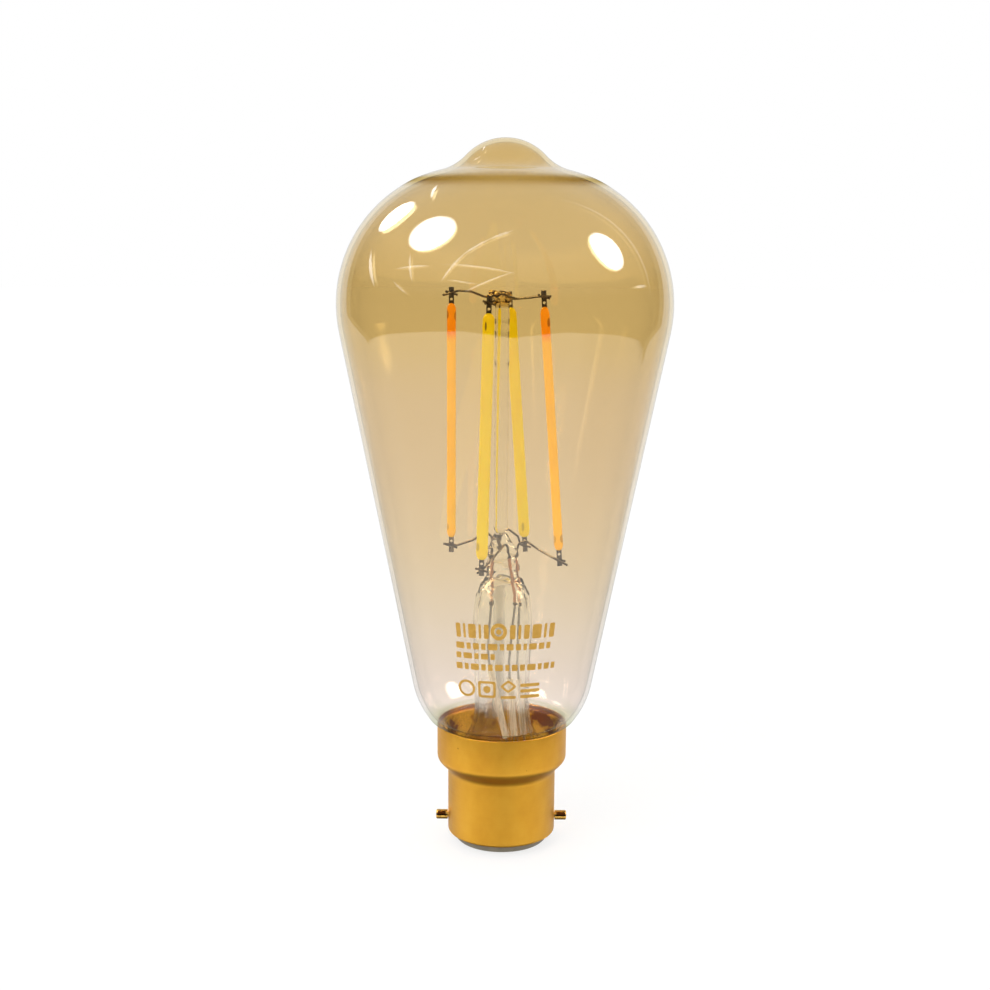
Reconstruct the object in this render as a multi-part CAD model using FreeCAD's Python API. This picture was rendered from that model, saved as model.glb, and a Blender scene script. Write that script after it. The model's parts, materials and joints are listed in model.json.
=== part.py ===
"""Smart light bulb with a tall tapered glass envelope, four filaments and a bayonet cap.

Millimetres. The bulb stands cap down on its two solder contacts: +Z runs from the contacts up to
the glass tip along the bulb's axis, X runs through the two bayonet pins and -Y is the front, where
the maker's print is. Every sub-part is written to parts/ as a solid of its own.
"""

import FreeCAD, Part
import os
from math import cos, radians, sin, tan

Vector = FreeCAD.Vector
UP = Vector(0, 0, 1)
ACROSS = Vector(1, 0, 0)

# Bayonet cap: a shell that the lampholder grips, and a wider collar that holds the glass.
SHELL_RADIUS = 11.0
SHELL_TOP = 15.65
SHELL_FOOT = 2.1
SHELL_ROUND = 1.0
SHELL_MOUTH_RADIUS = 9.5
COLLAR_RADIUS = 13.2
COLLAR_FOOT = 17.9
COLLAR_RIM = 25.35
BRASS = 0.4

# Bayonet pins.
PIN_RADIUS = 1.0
PIN_HEIGHT = 5.0
PIN_REACH = 13.5
PIN_ROUND = 0.3
PIN_TAIL = 0.2
PIN_TAIL_RADIUS = 0.6
PIN_SHOULDER = 0.1

# Base insulator and the two solder contacts in it.
INSULATOR_FOOT = 0.5
INSULATOR_RADIUS = 9.4
INSULATOR_CHAMFER = 0.3
INSULATOR_TOP = 3.8
CONTACT_SPACING = 7.8
CONTACT_RADIUS = 2.2
CONTACT_DEPTH = 1.3
RIVET_RADIUS = 0.9
RIVET_TOP = 4.6
CONTACT_ROUND = 0.4

# Glass envelope: neck, heel over the collar, long cone, round head and drawn tip.
GLASS = 0.8
NECK_RADIUS = 11.89
NECK_FOOT = 19.0
NECK_RUN = 5.61
NECK_FILLET = 0.9
HEEL_RADIUS = 3.0
HEEL_ANGLE = 85.0
LOWER_RADIUS = 17.33
LOWER_ANGLE = 38.0
CONE_ANGLE = 11.13
CONE_RUN = 71.72
HEAD_RADIUS = 26.17
HEAD_TURN = 87.97
TIP_FILLET = 9.37
TIP_TURN = 33.26

# Stem: a flared tube sealed into the neck, pinched flat round the lead wires at its top.
STEM_RADIUS = 5.6
STEM_GLASS = 0.9
STEM_TOP = 50.5
# The pinch: height above the tube, half width, half depth and shift along X.
PINCH = (
    (0.0, 5.6, 5.6, 0.0),
    (2.6, 5.0, 4.1, 0.0),
    (5.2, 3.5, 2.0, 0.0),
    (8.0, 3.2, 1.7, 0.0),
    (10.6, 3.0, 2.1, -0.2),
    (12.8, 2.1, 1.8, -0.4),
    (14.1, 1.42, 1.42, -0.5),
)
PINCH_HOLLOW = (
    (0.0, 4.7, 4.7, 0.0),
    (2.4, 4.1, 3.2, 0.0),
    (4.6, 2.4, 0.9, 0.0),
)
FLARE_FOOT = 19.0
FLARE_BEND = 12.0
FLARE_ANGLE = 38.0
RIM_BEND = 3.5
ROD_RADIUS = 1.42
ROD_X = -0.5
ROD_FOOT = STEM_TOP + PINCH[-1][0]
ROD_TOP = 110.0
BUTTON_LENGTH = 5.5
BUTTON_HEIGHT = 3.0
BUTTON_X = -1.1
BUTTON_Z = 111.1
EXHAUST_RADIUS = 1.3
EXHAUST_BORE = 0.6
EXHAUST_X = -0.8
EXHAUST_Y = 1.9
EXHAUST_FOOT = 26.0
EXHAUST_TOP = 53.4

# Filaments: a phosphor-covered strip with a bare metal tab at each end.
COOL_WIDTH = 2.3
WARM_WIDTH = 1.8
STRIP_THICKNESS = 1.6
STRIP_ROUND = 0.7
TAB_WIDTH = 1.0
TAB_THICKNESS = 0.3
TAB_LENGTH = 3.1
TAB_GRIP = 1.0
TAB_HOLE_RADIUS = 0.27
TAB_HOLE_SETBACK = 0.75
# Width, top and foot of each phosphor strip.
FILAMENTS = {
    "warm_left": (WARM_WIDTH, Vector(-10.4, 2.1, 109.8), Vector(-10.5, 4.2, 62.9)),
    "cool_front": (COOL_WIDTH, Vector(-3.0, -9.0, 108.5), Vector(-4.1, -10.8, 61.5)),
    "warm_right": (WARM_WIDTH, Vector(7.6, -2.1, 109.4), Vector(11.0, -4.2, 62.1)),
    "cool_rear": (COOL_WIDTH, Vector(1.1, 9.0, 108.7), Vector(4.4, 10.8, 61.7)),
}

# Wires.
HOOK_RADIUS = 0.22
HOOK_BEND = 1.2
WELD_SETBACK = 1.9
CROSS_PIN_LENGTH = 2.4
CROSS_PIN_TILT = 0.35
SEAL_RADIUS = 0.3
LEAD_RADIUS = 0.25
SLEEVE_RADIUS = 0.65
SLEEVE_SETBACK = 3.0
SLEEVE_SHORTFALL = 2.6
UPPER_KNOT_RADIUS = 0.4
LOWER_KNOT_RADIUS = 0.5
LEAD_BEND = 20.0
# Upper and lower weld knot, top of the sleeve's bend and foot of each lead.
LEADS = {
    "common": (
        Vector(-1.9, 0.3, 60.0),
        Vector(-2.3, 0.2, 50.2),
        Vector(-3.1, -0.6, 40.0),
        Vector(1.4, -2.3, 20.0),
    ),
    "cool": (
        Vector(1.1, -0.7, 60.0),
        Vector(2.5, -0.6, 50.4),
        Vector(1.3, -0.9, 37.8),
        Vector(2.7, -1.3, 20.0),
    ),
    "warm": (
        Vector(2.5, 0.1, 59.8),
        Vector(3.4, 0.1, 50.1),
        Vector(3.1, 0.2, 37.3),
        Vector(4.8, 0.3, 20.0),
    ),
}
SUPPLY_RADIUS = 0.35

# Insulating cup and cement ring inside the cap.
CUP_RADIUS = 10.2
CUP_WALL = 0.5
CUP_TOP = 15.6
CEMENT_FOOT = 18.6
CEMENT_TOP = 24.4

# Driver: a board on edge across the cap, its tongue up to the flare and the parts on both faces.
BOARD_THICKNESS = 1.0
BOARD_WIDTH = 17.0
BOARD_FOOT = 6.0
BOARD_TOP = 17.6
TONGUE_WIDTH = 8.4
TONGUE_TOP = 19.6
RADIO_BOARD = 0.8
# Gap to the board's face, width, depth, height, middle along X and foot of each flat part.
FRONT_PARTS = {
    "radio_board": (0.0, 8.0, RADIO_BOARD, 7.4, 0.0, 12.2),
    "radio_shield": (RADIO_BOARD, 6.6, 1.6, 4.6, 0.0, 12.5),
    "radio_antenna": (RADIO_BOARD, 6.0, 0.1, 1.7, 0.0, 17.6),
    "driver_chip": (0.0, 4.9, 1.5, 3.9, -2.6, 8.0),
}
REAR_PARTS = {
    "film_capacitor": (0.0, 6.6, 3.2, 5.4, 4.4, 6.8),
    "bridge_rectifier": (0.0, 4.6, 1.6, 3.8, 3.2, 13.0),
}
CAN_RADIUS = 3.15
CAN_LENGTH = 9.0
CAN_X = -4.2
CAN_FOOT = 6.4
COIL_RADIUS = 2.7
COIL_CORE_RADIUS = 1.6
COIL_LENGTH = 5.6
COIL_FLANGE = 0.8
COIL_INSET = 0.2
COIL_X = 5.4
COIL_FOOT = 6.4
FUSE_RADIUS = 1.2
FUSE_LENGTH = 7.0
FUSE_X = -6.6
FUSE_FOOT = 7.0
SUPPLY_RISE = 0.8
SUPPLY_BEND = 0.6
SUPPLY_JOINT = 7.2


def chain(start, heading, steps, inset=0.0):
    """Edges of a run of tangent lines and arcs in the XZ plane.

    The heading is in degrees from +Z towards +X. A step is a length, or a radius and the degrees
    that it turns by, where a positive turn is towards +X. The inset moves the whole run to its
    left. Returns the edges, the end point and the last heading.
    """
    edges = []
    point = start + side(heading) * inset
    for step in steps:
        if isinstance(step, float):
            end = point + Vector(sin(radians(heading)), 0, cos(radians(heading))) * step
            edges.append(Part.makeLine(point, end))
        else:
            radius, turn = step
            way = 1 if turn < 0 else -1
            reach = radius - way * inset
            centre = point + side(heading) * way * reach
            middle = centre - side(heading + turn / 2) * way * reach
            heading = heading + turn
            end = centre - side(heading) * way * reach
            edges.append(Part.Arc(point, middle, end).toShape())
        point = end
    return edges, point, heading


def side(heading):
    """The unit vector to the left of a heading."""
    return Vector(-cos(radians(heading)), 0, sin(radians(heading)))


def turned(edges):
    """The solid that a closed outline sweeps round the bulb's axis."""
    face = Part.Face(Part.Wire(edges))
    return face.revolve(Vector(0, 0, 0), UP, 360)


def turned_points(points):
    """The solid that a closed polygon of (radius, height) points sweeps round the axis."""
    corners = [Vector(radius, 0, height) for radius, height in points]
    return turned(Part.makePolygon(corners + corners[:1]).Edges)


def rod(radius, low, high):
    """A round bar between two points."""
    return Part.makeCylinder(radius, (high - low).Length, low, high - low)


def bent(points, radius, bend=HOOK_BEND):
    """A round wire along a route: straight runs joined by tangent arcs."""
    path = []
    begin = points[0]
    for before, corner, after in zip(points, points[1:], points[2:]):
        back = (before - corner).normalize()
        on = (after - corner).normalize()
        half = (back * -1).getAngle(on) / 2
        shorter = min((before - corner).Length, (after - corner).Length)
        setback = min(bend * tan(half), 0.45 * shorter)
        arc_radius = setback / tan(half)
        middle_way = (back + on).normalize()
        to_centre = arc_radius / cos(half)
        first = corner + back * setback
        middle = corner + middle_way * (to_centre - arc_radius)
        last = corner + on * setback
        path.append(Part.makeLine(begin, first))
        path.append(Part.Arc(first, middle, last).toShape())
        begin = last
    path.append(Part.makeLine(begin, points[-1]))
    ring = Part.Wire(Part.makeCircle(radius, points[0], points[1] - points[0]))
    return Part.Wire(path).makePipeShell([ring], True, True)


def stack(sections):
    """A smooth solid through level ellipses, wide along X, above the stem's tube."""
    rings = []
    for rise, half_width, half_depth, shift in sections:
        centre = Vector(shift, 0, STEM_TOP + rise)
        if half_width == half_depth:
            ring = Part.makeCircle(half_width, centre)
        else:
            ring = Part.Ellipse(centre, half_width, half_depth).toShape()
        rings.append(Part.Wire(ring))
    return Part.makeLoft(rings, True)


def envelope():
    """The blown glass: one outline of tangent arcs, outside and inside."""
    steps = [
        NECK_RUN,
        (NECK_FILLET, HEEL_ANGLE),
        (HEEL_RADIUS, LOWER_ANGLE - HEEL_ANGLE),
        (LOWER_RADIUS, CONE_ANGLE - LOWER_ANGLE),
        CONE_RUN,
        (HEAD_RADIUS, -HEAD_TURN),
        (TIP_FILLET, TIP_TURN),
    ]
    start = Vector(NECK_RADIUS, 0, NECK_FOOT)
    _, tip_start, heading = chain(start, 0, steps)
    tip_radius = tip_start.x / cos(radians(heading))
    steps.append((tip_radius, -90 - heading))
    outer, apex, _ = chain(start, 0, steps)
    inner, inner_apex, _ = chain(start, 0, steps, GLASS)
    foot = Part.makeLine(start, start - ACROSS * GLASS)
    axis = Part.makeLine(apex, inner_apex)
    return turned(outer + [axis] + inner[::-1] + [foot])


def stem_blank():
    """The flared tube with its pinched top, before the wires' holes are made."""
    level = cos(radians(FLARE_ANGLE))
    slope = sin(radians(FLARE_ANGLE))
    reach = NECK_RADIUS - GLASS - STEM_RADIUS
    rim_run = reach - FLARE_BEND * (1 - level) - RIM_BEND * level
    drop = FLARE_BEND * slope + RIM_BEND * (1 - slope)
    tube_run = STEM_TOP - FLARE_FOOT - STEM_GLASS - drop
    steps = [tube_run, (FLARE_BEND, -FLARE_ANGLE), (RIM_BEND, FLARE_ANGLE - 90), rim_run]
    start = Vector(STEM_RADIUS, 0, STEM_TOP)
    outer, rim, _ = chain(start, 180, steps)
    inner, inner_rim, _ = chain(start, 180, steps, -STEM_GLASS)
    top = Part.makeLine(start, start - ACROSS * STEM_GLASS)
    edge = Part.makeLine(rim, inner_rim)
    tube = turned(outer + [edge] + inner[::-1] + [top])
    return tube.fuse(stack(PINCH).cut(stack(PINCH_HOLLOW))).removeSplitter()


def button_blank():
    """The glass rod with its end melted to a flattened bead."""
    bead = Part.makeSphere(1.0, Vector(0, 0, 0))
    stretch = FreeCAD.Matrix()
    stretch.scale(Vector(BUTTON_LENGTH / 2, BUTTON_HEIGHT / 2, BUTTON_HEIGHT / 2))
    bead = bead.transformGeometry(stretch)
    bead.translate(Vector(BUTTON_X, 0, BUTTON_Z))
    bar = rod(ROD_RADIUS, Vector(ROD_X, 0, ROD_FOOT), Vector(ROD_X, 0, ROD_TOP))
    return bar.fuse(bead)


def strip_frame(top, foot):
    """A placement with +Z from a filament's foot to its top and its flat side to the front."""
    along = (top - foot).normalize()
    depth = along.cross(ACROSS).normalize()
    return FreeCAD.Placement(foot, FreeCAD.Rotation(depth.cross(along), depth, along, "ZXY"))


def tab(foot, way):
    """A bare strip end: it starts inside the phosphor at foot and leaves it the way given."""
    low = foot - TAB_GRIP if way > 0 else foot - TAB_LENGTH
    plate = Part.makeBox(
        TAB_WIDTH,
        TAB_THICKNESS,
        TAB_LENGTH + TAB_GRIP,
        Vector(-TAB_WIDTH / 2, -TAB_THICKNESS / 2, low),
    )
    centre = Vector(0, -TAB_THICKNESS, foot + way * TAB_HOLE_SETBACK)
    return plate.cut(Part.makeCylinder(TAB_HOLE_RADIUS, 2 * TAB_THICKNESS, centre, Vector(0, 1, 0)))


def filament(name):
    """The phosphor strip and its two tabs, by node name."""
    width, top, foot = FILAMENTS[name]
    length = (top - foot).Length
    strip = Part.makeBox(width, STRIP_THICKNESS, length, Vector(-width / 2, -STRIP_THICKNESS / 2, 0))
    strip = strip.makeFillet(STRIP_ROUND, strip.Edges)
    pieces = {"top_tab_" + name: tab(length, 1), "foot_tab_" + name: tab(0.0, -1)}
    pieces["filament_" + name] = strip.cut(Part.makeCompound(list(pieces.values())))
    for piece in pieces.values():
        piece.Placement = strip_frame(top, foot)
    return pieces


def weld_point(name, way, face):
    """Where a wire's middle lies on a tab: way 1 is the top tab, face -1 its front side."""
    _, top, foot = FILAMENTS[name]
    end = top if way > 0 else foot
    middle = end + (top - foot).normalize() * way * WELD_SETBACK
    return middle + Vector(0, face * (TAB_THICKNESS / 2 + HOOK_RADIUS), 0)


def hook_wires():
    """The nickel wires that hang the filaments from the bead and stand them on the stem."""
    front = -1
    rear = 1
    left_top = weld_point("warm_left", 1, front)
    right_top = weld_point("warm_right", 1, front)
    front_top = weld_point("cool_front", 1, rear)
    rear_top = weld_point("cool_rear", 1, front)
    left_foot = weld_point("warm_left", -1, front)
    right_foot = weld_point("warm_right", -1, front)
    front_foot = weld_point("cool_front", -1, rear)
    rear_foot = weld_point("cool_rear", -1, front)
    routes = {
        "bridge_wire_warm": [
            left_top + Vector(-1.7, 0, -0.4),
            left_top + Vector(1.4, 0, 0.5),
            Vector(-6.6, 1.0, 112.1),
            Vector(-3.9, 0.2, 111.1),
            Vector(-0.2, -0.3, 111.5),
            Vector(2.2, -0.5, 110.8),
            Vector(5.0, -1.5, 111.1),
            right_top + Vector(-1.2, 0, 0.05),
            right_top + Vector(1.4, 0, 0.1),
        ],
        "bridge_wire_cool": [
            front_top + Vector(-0.9, 0, -0.2),
            front_top + Vector(1.0, 0, 0.3),
            Vector(-2.2, -5.2, 111.1),
            Vector(-2.5, -1.4, 110.4),
            Vector(-1.3, 0.7, 110.2),
            Vector(0.3, 2.4, 110.6),
            Vector(0.4, 6.0, 111.0),
            rear_top + Vector(-0.9, 0, 0.1),
            rear_top + Vector(0.9, 0, 0),
        ],
        "hook_wire_left": [
            left_foot + Vector(-1.6, 0, 0.6),
            left_foot + Vector(1.2, 0, 0.3),
            Vector(-6.2, 2.2, 62.7),
            Vector(-3.4, 0.8, 64.7),
            Vector(-2.3, 0.4, 63.9),
            LEADS["common"][0],
        ],
        "hook_wire_front": [
            front_foot + Vector(-0.9, 0, -0.8),
            front_foot + Vector(0.7, 0, 0.4),
            Vector(-1.2, -4.6, 61.5),
            Vector(0.7, -1.2, 63.1),
            LEADS["cool"][0],
        ],
        "hook_wire_right": [
            right_foot + Vector(1.6, 0, -1.0),
            right_foot + Vector(-1.1, 0, 0.4),
            Vector(7.0, -1.6, 61.7),
            Vector(4.5, -0.2, 63.2),
            Vector(3.1, 0.1, 62.6),
            LEADS["warm"][0],
        ],
        "hook_wire_rear": [
            rear_foot + Vector(1.0, 0, -0.1),
            rear_foot + Vector(-0.9, 0, 0.2),
            Vector(3.0, 6.6, 62.7),
            Vector(0.9, 2.9, 65.0),
            Vector(-0.7, 1.6, 63.8),
            Vector(-0.5, 1.2, 60.4),
        ],
    }
    return {node: bent(route, HOOK_RADIUS) for node, route in routes.items()}


def cross_pins():
    """The short bits of wire welded to the far side of every tab, across its hook wire."""
    pins = []
    for name in FILAMENTS:
        for way in (1, -1):
            hooked_at_rear = name == "cool_front"
            middle = weld_point(name, way, -1 if hooked_at_rear else 1)
            reach = Vector(CROSS_PIN_LENGTH / 2, 0, -CROSS_PIN_TILT)
            pins.append(rod(HOOK_RADIUS, middle - reach, middle + reach))
    return Part.makeCompound(pins)


def lead_wires():
    """By node name: seal wires, their weld knots, outer leads and the sleeves on them."""
    wires = {}
    for name, (upper, lower, bend, foot) in LEADS.items():
        upper_knot = Part.makeSphere(UPPER_KNOT_RADIUS, upper)
        lower_knot = Part.makeSphere(LOWER_KNOT_RADIUS, lower)
        knots = Part.makeCompound([upper_knot, lower_knot])
        lead = bent([lower, bend, foot], LEAD_RADIUS, LEAD_BEND)
        along = (foot - bend).normalize()
        sleeve = rod(SLEEVE_RADIUS, bend + along * SLEEVE_SETBACK, foot - along * SLEEVE_SHORTFALL)
        wires["seal_wire_" + name] = rod(SEAL_RADIUS, upper, lower).cut(knots)
        wires["weld_knots_" + name] = knots
        wires["outer_lead_" + name] = lead.cut(lower_knot)
        wires["lead_sleeve_" + name] = sleeve.cut(lead)
    return wires


def cap_shell():
    """The brass cap: shell with a rolled-in foot, short cone and collar, all one wall thick."""
    bend = SHELL_ROUND
    inner_bend = bend - BRASS
    foot_centre = Vector(SHELL_RADIUS - bend, 0, SHELL_FOOT + bend)
    edges = []
    outer = [
        Vector(SHELL_RADIUS, 0, SHELL_FOOT + bend),
        Vector(SHELL_RADIUS, 0, SHELL_TOP),
        Vector(COLLAR_RADIUS, 0, COLLAR_FOOT),
        Vector(COLLAR_RADIUS, 0, COLLAR_RIM),
        Vector(COLLAR_RADIUS - BRASS, 0, COLLAR_RIM),
        Vector(COLLAR_RADIUS - BRASS, 0, COLLAR_FOOT + BRASS / 2),
        Vector(SHELL_RADIUS - BRASS, 0, SHELL_TOP + BRASS / 2),
        Vector(SHELL_RADIUS - BRASS, 0, SHELL_FOOT + bend),
    ]
    edges += Part.makePolygon(outer).Edges
    slant = Vector(cos(radians(45)), 0, -sin(radians(45)))
    low = Vector(0, 0, -1)
    edges.append(
        Part.Arc(outer[-1], foot_centre + slant * inner_bend, foot_centre + low * inner_bend).toShape()
    )
    lip = [
        foot_centre + low * inner_bend,
        Vector(SHELL_MOUTH_RADIUS, 0, SHELL_FOOT + BRASS),
        Vector(SHELL_MOUTH_RADIUS, 0, SHELL_FOOT),
        foot_centre + low * bend,
    ]
    edges += Part.makePolygon(lip).Edges
    edges.append(Part.Arc(lip[-1], foot_centre + slant * bend, outer[0]).toShape())
    return turned(edges)


def bayonet_pin(way):
    """One pin: a thinner tail riveted through the shell's wall, and a body with a rounded tip."""
    start = Vector(way * (SHELL_RADIUS - BRASS - PIN_TAIL), 0, PIN_HEIGHT)
    shoulder = Vector(way * (SHELL_RADIUS + PIN_SHOULDER), 0, PIN_HEIGHT)
    body = rod(PIN_RADIUS, shoulder, Vector(way * PIN_REACH, 0, PIN_HEIGHT))
    ends = [edge for edge in body.Edges if abs(abs(edge.CenterOfMass.x) - PIN_REACH) < 0.01]
    return body.makeFillet(PIN_ROUND, ends).fuse(rod(PIN_TAIL_RADIUS, start, shoulder))


def base_parts():
    """The insulator, and the two contacts with the rivets that carry the supply wires."""
    insulator = turned_points(
        [
            (0, INSULATOR_FOOT),
            (INSULATOR_RADIUS - INSULATOR_CHAMFER, INSULATOR_FOOT),
            (INSULATOR_RADIUS, INSULATOR_FOOT + INSULATOR_CHAMFER),
            (INSULATOR_RADIUS, SHELL_FOOT + BRASS),
            (SHELL_RADIUS - SHELL_ROUND, SHELL_FOOT + BRASS),
            (SHELL_RADIUS - BRASS, SHELL_FOOT + SHELL_ROUND),
            (SHELL_RADIUS - BRASS, INSULATOR_TOP),
            (0, INSULATOR_TOP),
        ]
    )
    parts = {}
    for name, way in (("front", -1), ("rear", 1)):
        centre = Vector(0, way * CONTACT_SPACING / 2, 0)
        pad = Part.makeCylinder(CONTACT_RADIUS, CONTACT_DEPTH, centre)
        rounded = [edge for edge in pad.Edges if abs(edge.CenterOfMass.z) < 0.01]
        pad = pad.makeFillet(CONTACT_ROUND, rounded)
        rivet = rod(RIVET_RADIUS, centre + UP * CONTACT_DEPTH, centre + UP * RIVET_TOP)
        parts["contact_" + name] = pad.fuse(rivet)
        insulator = insulator.cut(parts["contact_" + name])
        start = centre + UP * RIVET_TOP
        rise = start + UP * SUPPLY_RISE
        end = Vector(0, way * (BOARD_THICKNESS / 2 + SUPPLY_RADIUS), SUPPLY_JOINT)
        parts["supply_wire_" + name] = bent([start, rise, end], SUPPLY_RADIUS, SUPPLY_BEND)
    parts["base_insulator"] = insulator
    return parts


def cup():
    """The plastic cup that keeps the driver off the brass."""
    inside = CUP_RADIUS - CUP_WALL
    return turned_points(
        [
            (inside, INSULATOR_TOP),
            (CUP_RADIUS, INSULATOR_TOP),
            (CUP_RADIUS, CUP_TOP),
            (inside, CUP_TOP),
        ]
    )


def cement():
    """The cement ring between the glass neck and the collar."""
    outside = COLLAR_RADIUS - BRASS
    return turned_points(
        [
            (NECK_RADIUS, NECK_FOOT),
            (NECK_RADIUS, CEMENT_TOP),
            (outside, CEMENT_TOP),
            (outside, CEMENT_FOOT),
            (NECK_RADIUS - GLASS, CEMENT_FOOT),
            (NECK_RADIUS - GLASS, NECK_FOOT),
        ]
    )


def block(width, depth, height, middle, near, foot):
    """A box centred on middle along X that reaches from near along +Y and from foot up."""
    return Part.makeBox(width, depth, height, Vector(middle - width / 2, near, foot))


def inductor(face):
    """The ferrite bobbin in front of a board face, and the winding between its flanges."""
    foot = Vector(COIL_X, face - COIL_RADIUS - COIL_INSET, COIL_FOOT)
    low = foot + UP * COIL_FLANGE
    high = foot + UP * (COIL_LENGTH - COIL_FLANGE)
    core = rod(COIL_CORE_RADIUS, low, high)
    waist = rod(COIL_RADIUS, low, high).cut(core)
    winding = rod(COIL_RADIUS - COIL_INSET, low, high).cut(core)
    return rod(COIL_RADIUS, foot, foot + UP * COIL_LENGTH).cut(waist), winding


def driver_parts():
    """The driver board that stands on edge in the cap, and what is soldered on both faces."""
    front = -BOARD_THICKNESS / 2
    rear = BOARD_THICKNESS / 2
    board = block(BOARD_WIDTH, BOARD_THICKNESS, BOARD_TOP - BOARD_FOOT, 0, front, BOARD_FOOT)
    tongue = block(TONGUE_WIDTH, BOARD_THICKNESS, TONGUE_TOP - BOARD_TOP, 0, front, BOARD_TOP)
    parts = {"driver_board": board.fuse(tongue).removeSplitter()}
    for name, (gap, width, depth, height, middle, foot) in FRONT_PARTS.items():
        parts[name] = block(width, depth, height, middle, front - gap - depth, foot)
    for name, (gap, width, depth, height, middle, foot) in REAR_PARTS.items():
        parts[name] = block(width, depth, height, middle, rear + gap, foot)
    parts["coil_bobbin"], parts["coil_winding"] = inductor(front)
    fuse_foot = Vector(FUSE_X, front - FUSE_RADIUS, FUSE_FOOT)
    parts["fuse_resistor"] = rod(FUSE_RADIUS, fuse_foot, fuse_foot + UP * FUSE_LENGTH)
    can_foot = Vector(CAN_X, rear + CAN_RADIUS, CAN_FOOT)
    parts["bulk_capacitor"] = rod(CAN_RADIUS, can_foot, can_foot + UP * CAN_LENGTH)
    return parts


def bulb():
    """Every sub-part by node name, with holes in the glass where wires are sealed in."""
    parts = {"glass_envelope": envelope()}
    tabs = []
    for name in FILAMENTS:
        pieces = filament(name)
        tabs += [piece for node, piece in pieces.items() if "tab" in node]
        parts.update(pieces)
    hooks = hook_wires()
    leads = lead_wires()
    sealed = Part.makeCompound(list(hooks.values()) + list(leads.values()))
    exhaust_foot = Vector(EXHAUST_X, EXHAUST_Y, EXHAUST_FOOT)
    exhaust_top = Vector(EXHAUST_X, EXHAUST_Y, EXHAUST_TOP)
    exhaust = rod(EXHAUST_RADIUS, exhaust_foot, exhaust_top)
    bore = rod(EXHAUST_BORE, exhaust_foot + UP * EXHAUST_RADIUS, exhaust_top)
    parts["stem_flare"] = stem_blank().cut(sealed).cut(exhaust)
    parts["exhaust_tube"] = exhaust.cut(bore)
    parts["support_rod"] = button_blank().cut(sealed)
    welded = Part.makeCompound(tabs + [shape for node, shape in leads.items() if "knots" in node])
    for node, wire in hooks.items():
        parts[node] = wire.cut(welded)
    parts["cross_pins"] = cross_pins().cut(welded)
    parts.update(leads)
    shell = cap_shell()
    for name, way in (("left", -1), ("right", 1)):
        parts["bayonet_pin_" + name] = bayonet_pin(way)
        shell = shell.cut(parts["bayonet_pin_" + name])
    parts["cap_shell"] = shell
    parts["neck_cement"] = cement()
    parts["insulating_cup"] = cup()
    parts.update(base_parts())
    parts.update(driver_parts())
    return parts


os.makedirs("parts", exist_ok=True)
for node, shape in bulb().items():
    shape.exportStep("parts/" + node + ".step")
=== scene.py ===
"""Looks of a tall amber filament bulb: blown glass, light strips, wires, stem and bayonet cap."""

import json
from math import asin, cos, degrees, exp, pi, radians, sin

import bpy
import numpy as np
from mathutils import Euler, Matrix, Vector


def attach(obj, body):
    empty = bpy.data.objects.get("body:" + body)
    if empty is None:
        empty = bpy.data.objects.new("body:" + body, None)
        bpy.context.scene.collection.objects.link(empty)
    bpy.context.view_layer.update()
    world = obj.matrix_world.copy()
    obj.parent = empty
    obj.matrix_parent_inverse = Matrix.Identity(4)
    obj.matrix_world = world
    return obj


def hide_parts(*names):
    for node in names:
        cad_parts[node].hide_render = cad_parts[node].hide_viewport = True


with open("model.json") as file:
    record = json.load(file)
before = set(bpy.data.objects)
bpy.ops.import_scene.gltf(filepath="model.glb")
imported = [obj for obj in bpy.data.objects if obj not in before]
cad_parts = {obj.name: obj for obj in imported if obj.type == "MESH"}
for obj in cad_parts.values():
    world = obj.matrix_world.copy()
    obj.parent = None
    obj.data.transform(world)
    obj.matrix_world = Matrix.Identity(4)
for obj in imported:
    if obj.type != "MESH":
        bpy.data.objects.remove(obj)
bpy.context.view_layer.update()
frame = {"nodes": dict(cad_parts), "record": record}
nodes = frame["nodes"]
MM = 0.001
AROUND = 192

# ---------------------------------------------------------------- shapes


def outline(start, heading, steps, inset=0.0):
    """Points (radius, height) along a run of tangent lines and arcs.

    The heading is in degrees from straight up towards outwards. A step is a length, or a radius
    and the degrees that it turns by, positive outwards. The inset moves the run to its left.
    """
    point = np.array(start, float)
    points = [point + left_of(heading) * inset]
    for step in steps:
        if isinstance(step, float):
            way = np.array([sin(radians(heading)), cos(radians(heading))])
            share = np.linspace(0, 1, max(2, int(step / 1.5)) + 1)[1:, None]
            run = point + way * step * share
            points.extend(run + left_of(heading) * inset)
            point = run[-1]
        else:
            radius, turn = step
            bend = -np.sign(turn)
            centre = point + left_of(heading) * bend * radius
            for angle in np.linspace(heading, heading + turn, max(3, int(abs(turn) / 2.5)) + 1)[1:]:
                points.append(centre - left_of(angle) * (bend * radius - inset))
            heading += turn
            point = centre - left_of(heading) * bend * radius
    return np.array(points), point, heading


def left_of(heading):
    """The unit vector to the left of a heading, in the plane of radius and height."""
    return np.array([-cos(radians(heading)), sin(radians(heading))])


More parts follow.
